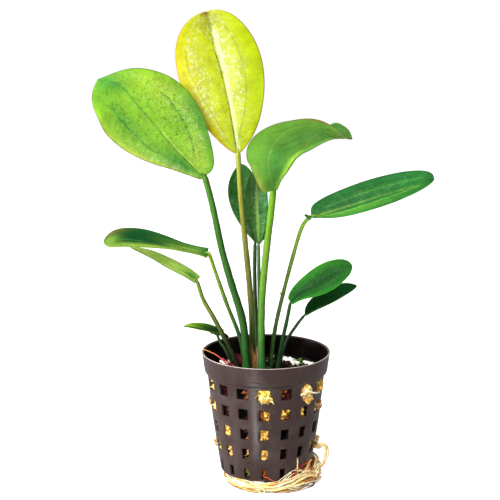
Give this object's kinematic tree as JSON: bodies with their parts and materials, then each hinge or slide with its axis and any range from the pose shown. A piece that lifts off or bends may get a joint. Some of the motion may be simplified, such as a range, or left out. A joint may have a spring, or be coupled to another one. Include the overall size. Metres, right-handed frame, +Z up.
{
  "type": "potted echinodorus",
  "caption": "Young echinodorus aquarium plant: broad oval leaves on long stalks rise from a crown in rock wool inside a slatted net pot that stands on its own roots.",
  "frame": {"origin": "on the surface that the plant stands on, under the middle of the pot's rim", "axes": "+Z up along the pot's axis; the front of the plant faces -Y and +X is to its right as seen from the front"},
  "size_m": [0.1419, 0.0585, 0.2012],
  "materials": {
    "pot_plastic": "satin",
    "wool_fibre": "matt fibrous",
    "crown_tissue": "matt",
    "leaf_tall": "satin",
    "stem_tall": "satin",
    "leaf_upper_left": "satin",
    "stem_upper_left": "satin",
    "leaf_folded": "satin",
    "stem_folded": "satin",
    "leaf_rear": "satin",
    "stem_rear": "satin",
    "leaf_rear_narrow": "satin",
    "stem_rear_narrow": "satin",
    "leaf_right_long": "satin",
    "stem_right_long": "satin",
    "leaf_lower_right": "satin",
    "stem_lower_right": "satin",
    "leaf_dark_right": "satin",
    "stem_dark_right": "satin",
    "leaf_left_dark": "satin",
    "stem_left_dark": "satin",
    "leaf_left_pale": "satin",
    "stem_left_pale": "satin",
    "leaf_small": "satin",
    "stem_small": "satin",
    "sheath_brown": "matt, withered",
    "root_pale": "matt fibrous",
    "root_cream": "satin",
    "root_red": "satin"
  },
  "bodies": {
    "root": {"net_pot": "pot_plastic", "wool_plug": "wool_fibre", "crown": "crown_tissue", "leaf_tall": "leaf_tall", "stem_tall": "stem_tall", "leaf_upper_left": "leaf_upper_left", "stem_upper_left": "stem_upper_left", "leaf_folded": "leaf_folded", "stem_folded": "stem_folded", "leaf_rear": "leaf_rear", "stem_rear": "stem_rear", "leaf_rear_narrow": "leaf_rear_narrow", "stem_rear_narrow": "stem_rear_narrow", "leaf_right_long": "leaf_right_long", "stem_right_long": "stem_right_long", "leaf_lower_right": "leaf_lower_right", "stem_lower_right": "stem_lower_right", "leaf_dark_right": "leaf_dark_right", "stem_dark_right": "stem_dark_right", "leaf_left_dark": "leaf_left_dark", "stem_left_dark": "stem_left_dark", "leaf_left_pale": "leaf_left_pale", "stem_left_pale": "stem_left_pale", "leaf_small": "leaf_small", "stem_small": "stem_small", "sheath_split": "sheath_brown", "sheath_broken": "sheath_brown", "root_mat": "root_pale", "root_loop": "root_cream", "surface_root": "root_red"}
  },
  "joints": []
}
